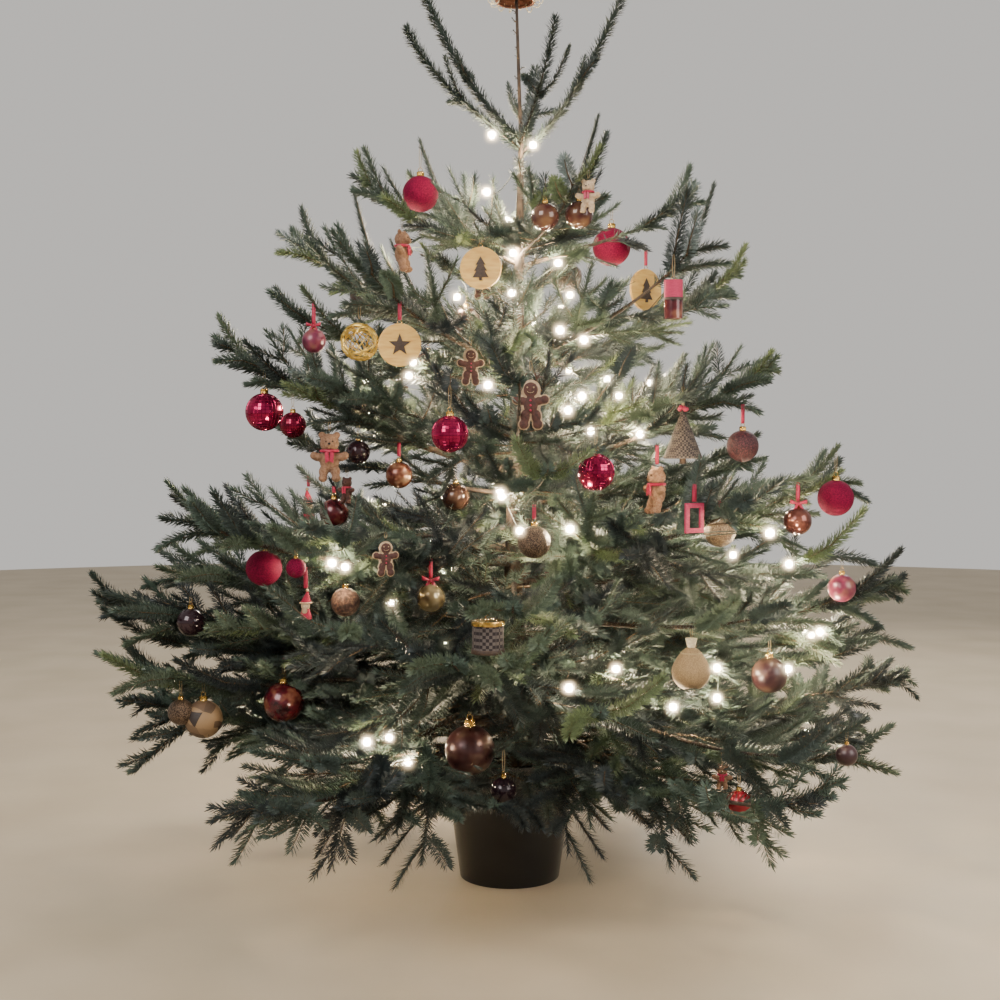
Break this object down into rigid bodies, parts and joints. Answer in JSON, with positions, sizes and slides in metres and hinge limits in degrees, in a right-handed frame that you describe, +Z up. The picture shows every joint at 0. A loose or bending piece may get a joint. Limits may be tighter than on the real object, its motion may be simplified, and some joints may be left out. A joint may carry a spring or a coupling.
{
  "type": "christmas tree",
  "caption": "Cut fir dressed as a christmas tree with baubles, plush and wooden figures, ribbons and warm lights, standing in a black bucket packed with damp sand.",
  "frame": {"origin": "centre of the flat underside of the bucket", "axes": "+Z up along the stem, -Y towards the viewer of the picture, +X to the viewer's right"},
  "size_m": [1.9384, 1.6834, 2.1],
  "materials": {
    "needles": "satin",
    "top_needles": "satin",
    "bark": "rough",
    "bucket": "gloss",
    "fill": "matte",
    "bauble_matte": "matte",
    "bauble_shiny": "mirror",
    "glitter": "sparkling",
    "gold": "satin",
    "ribbon": "satin",
    "plush": "fuzzy",
    "light_wood": "matte",
    "bulb": "glowing",
    "wire": "satin"
  },
  "bodies": {
    "root": {"bough_fifth_1": "bark", "bough_fifth_2": "bark", "bough_fifth_3": "bark", "bough_fifth_4": "bark", "bough_fifth_5": "bark", "bough_fourth_1": "bark", "bough_fourth_2": "bark", "bough_fourth_3": "bark", "bough_fourth_4": "bark", "bough_fourth_5": "bark", "bough_lowest_1": "bark", "bough_lowest_2": "bark", "bough_lowest_3": "bark", "bough_lowest_4": "bark", "bough_lowest_5": "bark", "bough_lowest_6": "bark", "bough_sixth_1": "bark", "bough_sixth_2": "bark", "bough_sixth_3": "bark", "bough_sixth_4": "bark", "bough_sixth_5": "bark", "bucket": "bucket", "bucket_fill": "fill", "foliage_fifth_1": "needles", "foliage_fifth_2": "needles", "foliage_fifth_3": "needles", "foliage_fifth_4": "needles", "foliage_fifth_5": "needles", "foliage_fourth_1": "needles", "foliage_fourth_2": "needles", "foliage_fourth_3": "needles", "foliage_fourth_4": "needles", "foliage_fourth_5": "needles", "foliage_lowest_1": "needles", "foliage_lowest_2": "needles", "foliage_lowest_3": "needles", "foliage_lowest_4": "needles", "foliage_lowest_5": "needles", "foliage_lowest_6": "needles", "foliage_second_1": "needles", "foliage_second_2": "needles", "foliage_second_3": "needles", "foliage_second_4": "needles", "foliage_second_5": "needles", "foliage_sixth_1": "needles", "foliage_sixth_2": "needles", "foliage_sixth_3": "needles", "foliage_sixth_4": "needles", "foliage_sixth_5": "needles", "foliage_third_1": "needles", "foliage_third_2": "needles", "foliage_third_3": "needles", "foliage_third_4": "needles", "foliage_third_5": "needles", "foliage_top_1": "top_needles", "foliage_top_2": "top_needles", "foliage_top_3": "top_needles", "foliage_top_4": "top_needles", "foliage_top_5": "top_needles", "trunk": "bark"}
  },
  "joints": []
}
